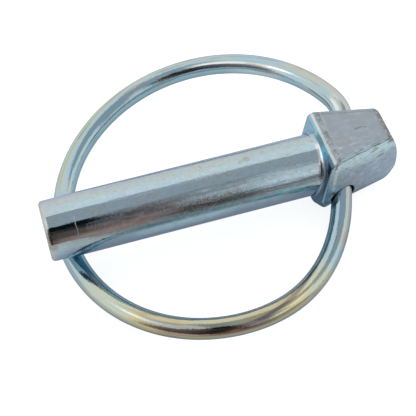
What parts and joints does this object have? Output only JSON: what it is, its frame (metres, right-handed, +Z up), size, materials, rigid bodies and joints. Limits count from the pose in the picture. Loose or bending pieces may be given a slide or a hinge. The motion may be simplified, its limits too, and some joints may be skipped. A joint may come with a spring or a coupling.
{
  "type": "lynch pin",
  "caption": "Steel locking pin with a plain round shank, a tapered square head and a sprung wire ring that is hinged through the head and closes under the shank.",
  "frame": {"origin": "on the pin's own axis at the shoulder under the head", "axes": "+X along the shank towards the head, as seen from above; +Z up from the table that the part lies on"},
  "size_m": [0.0585, 0.0537, 0.0135],
  "materials": {
    "pin_zinc": "bright zinc plate with a faint blue and yellow sheen",
    "ring_zinc": "bright zinc plate with a faint blue and yellow sheen"
  },
  "bodies": {
    "pin": {"pin": "pin_zinc"},
    "ring": {"ring": "ring_zinc"}
  },
  "joints": [
    {"name": "ring_swing", "type": "hinge", "parent": "pin", "child": "ring", "pos_m": [0.00663, -0.00012, -0.00161], "axis": [-0.3324, -0.9075, -0.2566], "range_deg": [0, 341.5]}
  ]
}
